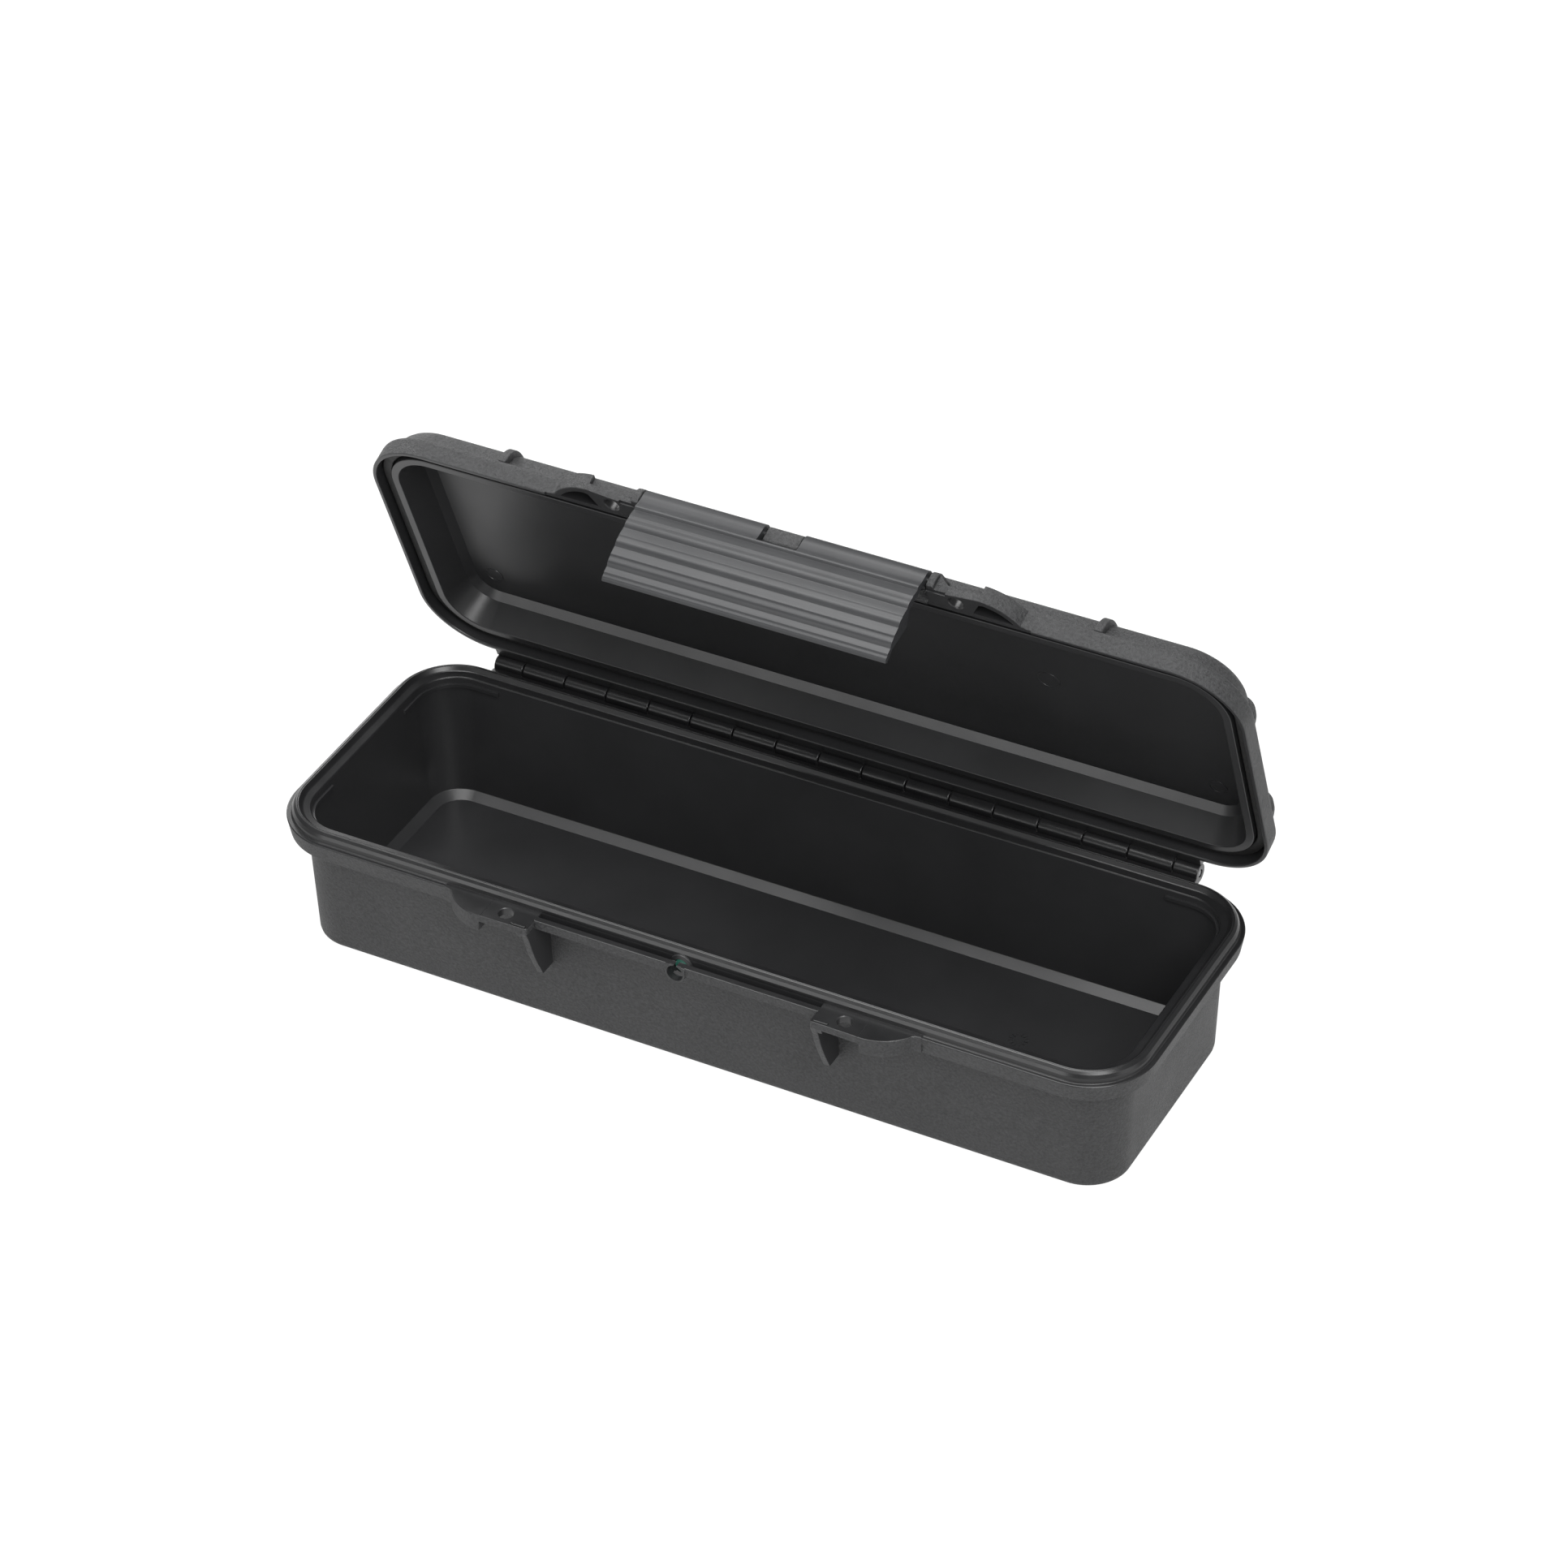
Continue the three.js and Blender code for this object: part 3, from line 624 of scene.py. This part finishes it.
def lid_bracket(side):
    rim_y = -60.6
    ear = [
        (-60.8, 54.8), (-68.6, 54.8), (-70.2, 55.6), (-70.7, 57.5), (-70.5, 60.2), (-69.6, 62),
        (-67.8, 63.2), (-64, 64.4), (-57.5, 66.4),
    ]
    plate = [
        (side * 57.2, rim_y), (side * 57.2, -68.5), (side * 66, -68.9), (side * 72, -69.7),
        *lug_arc(side, 0.4, -88, -33), (side * 93.2, rim_y),
    ]
    hump = smooth_path([
        (59.8, 62), (60.6, 61.8), (61.8, 60.6), (64, 59), (67, 58.1), (69.5, 57.8), (72, 58.2),
        (74.4, 59.3), (76.2, 60.8), (77.6, 61.6), (79, 61.7),
    ])
    swoop = [(side * x, z) for x, z in [(59.8, 57.7), *hump, (79, 57.7)]]
    end = [
        (side * 77.4, rim_y), *lug_arc(side, 0.4, -88, -33), (side * 94.1, -61.5),
        (side * 96.4, -61.1), (side * 96.4, rim_y),
    ]
    whole = combine(facing_finish(prism("Z", plate, LID_PLATE_BOTTOM, 57.9), SATIN, (0, 0, -1)), [
        prism("X", ear, *sided(side, 57.2, 60), rounding=0.4, segments=3),
        prism("Y", swoop, -68.8, rim_y, rounding=0.4, segments=3),
        prism("Z", end, LID_PLATE_BOTTOM, 61.7, rounding=0.6, segments=3),
    ], "UNION")
    hollow = [(side * 74.6, -61.9), (side * 77.6, -67.6), *lug_arc(side, 2.7, -82, -37)]
    return combine(whole, [
        prism("Z", hollow, 54, 59.6, SATIN, 0.3),
        block(*sided(side, 57.1, 64.8), -72, -67.6, 54, 55.5, SATIN, 0),
    ], "DIFFERENCE")


def centre_knuckle():
    outline = [
        (-60.8, 54.9), (-69.4, 54.9), (-70, 55.6), (-70, 60.4), (-69.3, 61.6), (-67.9, 62.5),
        (-64, 63.4), (-60.8, 63.6), (-58.5, 62.6),
    ]
    return prism("X", outline, -CENTRE_KNUCKLE_HALF, CENTRE_KNUCKLE_HALF, rounding=0.4, segments=3)


def lid_moulding():
    wall = mouth_wall(LID_PROFILE, LID_FINISHES)
    arm = [
        (60.9, 54.4), (HINGE_Y, 54.4), (HINGE_Y, 57.2), (66.6, 57.2), (63.4, 58.3), (60.9, 60.2),
    ]
    combine(wall, [
        *lid_ribs(), lid_bracket(1), lid_bracket(-1), centre_knuckle(), lid_hinge_strip(),
        *knuckles(1, arm), *[ejector_ring(*ring) for ring in EJECTOR_RINGS],
    ], "UNION")
    return combine(wall, [
        *padlock_holes(59, LID_PLATE_BOTTOM, 54), hinge_bore(),
        prism("X", circle(BORE_RADIUS, PIVOT_Y, PIVOT_Z), -62, 62, SATIN, 0),
        block(VENT_X - 5.4, VENT_X + 5.4, -61.6, -59, 53, 56.6, SATIN, 0),
        *[block(x, x + 40, -61.4, -59.2, 53, 54.75, SATIN, 0) for x in (56.8, -96.8)],
    ], "DIFFERENCE")


def lid_gasket():
    section = rounded_rectangle(1.9, 0.68, 0.5, 5.2, 59.03)
    return mouth_wall(section, [PLAIN] * len(section), closed=True)


# ---------- latch, drawn at its resting angle with the lid shut ----------
LATCH_TOP = [
    (-64.3, 61.9), (-66.5, 62.8), (-68.9, 62.4), (-70.5, 61.2), (-71.3, 59.4), (-71.5, 57.2),
    (-71.8, 55), (-72.4, 53.2), (-72.3, 52.3), (-71.7, 51.7),
]
LATCH_CREASES = [(-71.7, 51.7), (-71.9, 43.2), (-70.9, 35.4), (-68.5, 27.9), (-66.3, 22.9)]
# One flute from crease to crease, as (share of the way down, height outward): a flat that faces
# up, a small step, and a roll that turns under to the next crease.
FLUTE = [
    (0.02, 0.07), (0.2, 0.42), (0.37, 0.75), (0.4, 0.78), (0.43, 0.75), (0.47, 0.67), (0.5, 0.65),
    (0.54, 0.66), (0.6, 0.72), (0.66, 0.79), (0.71, 0.83), (0.76, 0.81), (0.82, 0.7), (0.88, 0.5),
    (0.94, 0.25), (0.98, 0.06), (1, 0),
]
LATCH_INNER = [
    (-65.2, 24), (-67.6, 30.6), (-69.2, 37), (-69.7, 44), (-69.6, 51), (-69.3, 55.2), (-67.6, 56.4),
    (-64.6, 57),
]


def fluted(creases):
    points = []
    for before, after in zip(creases, creases[1:]):
        start, end = Vector(before), Vector(after)
        along = end - start
        outward = Vector((along.y, -along.x)).normalized()
        points += [tuple(start + along * share + outward * height) for share, height in FLUTE]
    return points


def latch_moulding():
    outline = [*smooth_path(LATCH_TOP), *fluted(LATCH_CREASES), *LATCH_INNER]
    half = LATCH_HALF_WIDTH
    plate = prism("X", outline, -half, half, PLAIN, 0.3)
    pivot = Vector((PIVOT_Y, PIVOT_Z))
    turn = Matrix.Rotation(-LATCHED_TURN, 2)
    hook_latched = [(-68.3, 50.4), (-63.2, 50.4), (-63.2, 48.4), (-65, 47.1), (-67.4, 46.3)]
    hook = [tuple(pivot + turn @ (Vector(point) - pivot)) for point in hook_latched]
    web = [(-70.6, 45.5), (-64.9, 40.3), (-64.9, 39.2), (-67.4, 25.6), (-68.6, 31)]
    added = [prism("X", circle(BARREL_RADIUS, PIVOT_Y, PIVOT_Z), -half, half, PLAIN, 0.3)]
    for side in (-1, 1):
        added.append(prism("X", web, *sided(side, half - 2.2, half), PLAIN, 0.25))
        added.append(prism("X", hook, *sided(side, 6.5, half - 3.4), PLAIN, 0.25))
    combine(plate, added, "UNION")
    notch = CENTRE_KNUCKLE_HALF + NOTCH_GAP
    return combine(plate, [
        block(-notch, notch, -80, -60, 53.2, 70, PLAIN, 0),
        prism("X", circle(BORE_RADIUS, PIVOT_Y, PIVOT_Z), -half - 1, half + 1, PLAIN, 0),
    ], "DIFFERENCE")


# ---------- small parts ----------
def pin(x0, x1, y, z):
    chamfer = 0.25
    section = [
        (0, x0), (ROD_RADIUS - chamfer, x0), (ROD_RADIUS, x0 + chamfer),
        (ROD_RADIUS, x1 - chamfer), (ROD_RADIUS - chamfer, x1), (0, x1),
    ]
    return turned("X", section, y, z, PLAIN)


def vent_body():
    face_y = -59.9
    section = [
        (0.6, 0.15), (0.75, 0), (2.4, 0), (2.58, 0.15), (2.58, 1.3), (2.15, 1.45), (2.15, 3.1),
        (1.5, 3.2), (1.5, 4.5), (2.15, 4.6), (2.15, 7.9), (1.7, 7.9), (1.7, 7), (0.6, 7),
    ]
    return turned("Y", [(radius, face_y + along) for radius, along in section], VENT_X, VENT_Z, PLAIN)


def vent_ring():
    section = circle(0.29, 2, -56.05, 16)
    return turned("Y", section, VENT_X, VENT_Z, PLAIN)


def vent_disc():
    section = [(0, -52.6), (1.3, -52.6), (1.4, -52.5), (1.4, -52.35), (1.3, -52.25), (0, -52.25)]
    return turned("Y", section, VENT_X, VENT_Z, PLAIN)


# ---------- materials ----------
class Nodes:
    """A material's node tree, with short calls for what these finishes use."""

    def __init__(self, name):
        self.material = bpy.data.materials.new(name)
        self.material.use_nodes = True
        self.tree = self.material.node_tree
        self.shader = self.tree.nodes["Principled BSDF"]
        self.place = self.tree.nodes.new("ShaderNodeTexCoord").outputs["Object"]

    def link(self, output, socket):
        self.tree.links.new(output, socket)

    def noise(self, scale, detail=2.0, roughness=0.5, stretch=(1, 1, 1)):
        mapping = self.tree.nodes.new("ShaderNodeMapping")
        mapping.inputs["Scale"].default_value = stretch
        self.link(self.place, mapping.inputs["Vector"])
        noise = self.tree.nodes.new("ShaderNodeTexNoise")
        noise.inputs["Scale"].default_value = scale
        noise.inputs["Detail"].default_value = detail
        noise.inputs["Roughness"].default_value = roughness
        self.link(mapping.outputs["Vector"], noise.inputs["Vector"])
        return noise.outputs["Fac"]

    def span(self, value, low, high, out_low, out_high):
        node = self.tree.nodes.new("ShaderNodeMapRange")
        node.inputs["From Min"].default_value = low
        node.inputs["From Max"].default_value = high
        node.inputs["To Min"].default_value = out_low
        node.inputs["To Max"].default_value = out_high
        self.link(value, node.inputs["Value"])
        return node.outputs["Result"]

    def tint(self, value, dark, light):
        ramp = self.tree.nodes.new("ShaderNodeValToRGB")
        ramp.color_ramp.elements[0].position = 0.3
        ramp.color_ramp.elements[1].position = 0.7
        ramp.color_ramp.elements[0].color = (*dark, 1)
        ramp.color_ramp.elements[1].color = (*light, 1)
        self.link(value, ramp.inputs["Fac"])
        self.link(ramp.outputs["Color"], self.shader.inputs["Base Color"])

    def bump(self, height, strength, distance, onto=None):
        node = self.tree.nodes.new("ShaderNodeBump")
        node.inputs["Strength"].default_value = strength
        node.inputs["Distance"].default_value = distance
        self.link(height, node.inputs["Height"])
        if onto is not None:
            self.link(onto, node.inputs["Normal"])
        return node.outputs["Normal"]


def textured_shell():
    """Spark-eroded grain: a fine even speckle, with the sparkle of its tiny facets."""
    nodes = Nodes("textured_shell")
    grain = nodes.noise(900, 4, 0.7)
    cloud = nodes.noise(28, 3, 0.6)
    nodes.tint(grain, (0.009, 0.0092, 0.0098), (0.040, 0.0406, 0.042))
    nodes.link(nodes.span(cloud, 0.3, 0.7, 0.50, 0.60), nodes.shader.inputs["Roughness"])
    nodes.link(nodes.bump(grain, 1.0, 0.0006), nodes.shader.inputs["Normal"])
    return nodes.material


def satin_shell():
    """The smooth insides: satin, with a faint cloudiness from the mould."""
    nodes = Nodes("satin_shell")
    cloud = nodes.noise(22, 4, 0.6)
    nodes.tint(cloud, (0.0175, 0.0177, 0.0185), (0.0215, 0.0217, 0.0227))
    nodes.link(nodes.span(cloud, 0.35, 0.65, 0.31, 0.38), nodes.shader.inputs["Roughness"])
    nodes.link(nodes.bump(nodes.noise(400), 0.05, 0.0001), nodes.shader.inputs["Normal"])
    return nodes.material


def glossy_shell():
    """The base's rim, the tops of the lugs and the rail, and the hinge: almost polished."""
    nodes = Nodes("glossy_shell")
    cloud = nodes.noise(60, 3, 0.6)
    nodes.tint(cloud, (0.009, 0.0091, 0.0096), (0.012, 0.0121, 0.0127))
    nodes.link(nodes.span(cloud, 0.35, 0.65, 0.28, 0.34), nodes.shader.inputs["Roughness"])
    nodes.link(nodes.bump(nodes.noise(200), 0.03, 0.0002), nodes.shader.inputs["Normal"])
    return nodes.material


def latch_plastic():
    """Grey satin plastic with faint drag lines along the flutes."""
    nodes = Nodes("latch_plastic")
    drag = nodes.noise(1, 3, 0.6, stretch=(9, 700, 700))
    cloud = nodes.noise(35, 3, 0.6)
    nodes.tint(cloud, (0.022, 0.0227, 0.0242), (0.029, 0.0298, 0.0317))
    nodes.shader.inputs["Specular IOR Level"].default_value = 0.42
    nodes.link(nodes.span(drag, 0.3, 0.7, 0.36, 0.46), nodes.shader.inputs["Roughness"])
    normal = nodes.bump(drag, 0.16, 0.0002)
    normal = nodes.bump(nodes.noise(1200, 2), 0.10, 0.0001, normal)
    nodes.link(normal, nodes.shader.inputs["Normal"])
    return nodes.material


def rubber():
    """Matte black elastomer."""
    nodes = Nodes("rubber")
    nodes.tint(nodes.noise(90, 3), (0.010, 0.010, 0.010), (0.014, 0.014, 0.014))
    nodes.link(nodes.span(nodes.noise(400), 0.3, 0.7, 0.55, 0.7), nodes.shader.inputs["Roughness"])
    nodes.link(nodes.bump(nodes.noise(1500), 0.15, 0.0001), nodes.shader.inputs["Normal"])
    return nodes.material


def drawn_steel():
    """Steel wire with fine lines along its length."""
    nodes = Nodes("drawn_steel")
    nodes.shader.inputs["Metallic"].default_value = 1
    nodes.tint(nodes.noise(40, 3), (0.50, 0.51, 0.52), (0.60, 0.61, 0.62))
    lines = nodes.noise(1, 2, 0.5, stretch=(20, 2500, 2500))
    nodes.link(nodes.span(lines, 0.3, 0.7, 0.25, 0.4), nodes.shader.inputs["Roughness"])
    nodes.link(nodes.bump(lines, 0.1, 0.00005), nodes.shader.inputs["Normal"])
    return nodes.material


def vent_plastic():
    """Glossy dark green plastic."""
    nodes = Nodes("vent_plastic")
    nodes.tint(nodes.noise(300, 2), (0.02, 0.11, 0.08), (0.035, 0.15, 0.11))
    nodes.link(nodes.span(nodes.noise(500), 0.3, 0.7, 0.22, 0.34), nodes.shader.inputs["Roughness"])
    nodes.link(nodes.bump(nodes.noise(900), 0.05, 0.0001), nodes.shader.inputs["Normal"])
    return nodes.material


def membrane_film():
    """Off-white breathing film."""
    nodes = Nodes("membrane_film")
    nodes.tint(nodes.noise(2500, 3), (0.70, 0.70, 0.68), (0.82, 0.82, 0.80))
    nodes.link(nodes.span(nodes.noise(2500), 0.3, 0.7, 0.75, 0.9), nodes.shader.inputs["Roughness"])
    nodes.link(nodes.bump(nodes.noise(4000), 0.3, 0.00005), nodes.shader.inputs["Normal"])
    return nodes.material


def floor_paint():
    """A white floor that gives off light itself, so that it stays white and shadows hardly show."""
    nodes = Nodes("floor_paint")
    nodes.tint(nodes.noise(3, 2), (0.09, 0.09, 0.09), (0.10, 0.10, 0.10))
    nodes.shader.inputs["Roughness"].default_value = 0.8
    nodes.shader.inputs["Specular IOR Level"].default_value = 0.1
    nodes.shader.inputs["Emission Color"].default_value = (1, 1, 1, 1)
    nodes.shader.inputs["Emission Strength"].default_value = 0.96
    return nodes.material


# ---------- room ----------
def add_floor():
    mesh_builder = bmesh.new()
    bmesh.ops.create_circle(mesh_builder, cap_ends=True, segments=96, radius=FLOOR_RADIUS)
    floor = solid("floor", mesh_builder, PLAIN)
    floor.location.z = cad_box[0][2] - FLOOR_GAP
    floor.data.materials[0] = floor_paint()


def add_light(name, place, width, height, power):
    data = bpy.data.lights.new(name, "AREA")
    data.shape = "RECTANGLE"
    data.size = width
    data.size_y = height
    data.energy = power
    light = bpy.data.objects.new(name, data)
    light.location = place
    aim = Vector(LIGHT_TARGET) - Vector(place)
    light.rotation_euler = aim.to_track_quat("-Z", "Y").to_euler()
    bpy.context.scene.collection.objects.link(light)


def add_room():
    world = bpy.data.worlds.new("studio")
    world.use_nodes = True
    background = world.node_tree.nodes["Background"]
    background.inputs["Color"].default_value = (1, 1, 1, 1)
    background.inputs["Strength"].default_value = WORLD_STRENGTH
    bpy.context.scene.world = world
    bpy.context.scene.view_settings.view_transform = "Standard"
    for light in LIGHTS:
        add_light(*light)
    add_floor()


# ---------- the case ----------
add_camera()
shell_finishes = [textured_shell(), satin_shell(), glossy_shell()]
steel = drawn_steel()
seal_rubber = rubber()

finished(base_moulding(), "base_moulding", "base", "base_shell", shell_finishes)
hinge_pin = pin(HINGE_LEFT + PIN_INSET, HINGE_RIGHT - PIN_INSET, HINGE_Y, HINGE_Z)
finished(hinge_pin, "hinge_pin", "base", "hinge_rod", [steel])
finished(vent_body(), "vent_body", "base", "vent_plug", [vent_plastic()])
finished(vent_ring(), "vent_ring", "base", "vent_o_ring", [seal_rubber])
finished(vent_disc(), "vent_disc", "base", "vent_membrane", [membrane_film()])
finished(opened(lid_moulding()), "lid_moulding", "lid", "lid_shell", shell_finishes)
finished(opened(lid_gasket()), "lid_gasket", "lid", "lid_seal", [seal_rubber])
latch_pin = pin(-LATCH_PIN_HALF, LATCH_PIN_HALF, PIVOT_Y, PIVOT_Z)
finished(opened(latch_pin), "latch_pin", "lid", "latch_rod", [steel])
finished(opened(latch_moulding()), "latch_moulding", "latch", "latch", [latch_plastic()])

add_room()
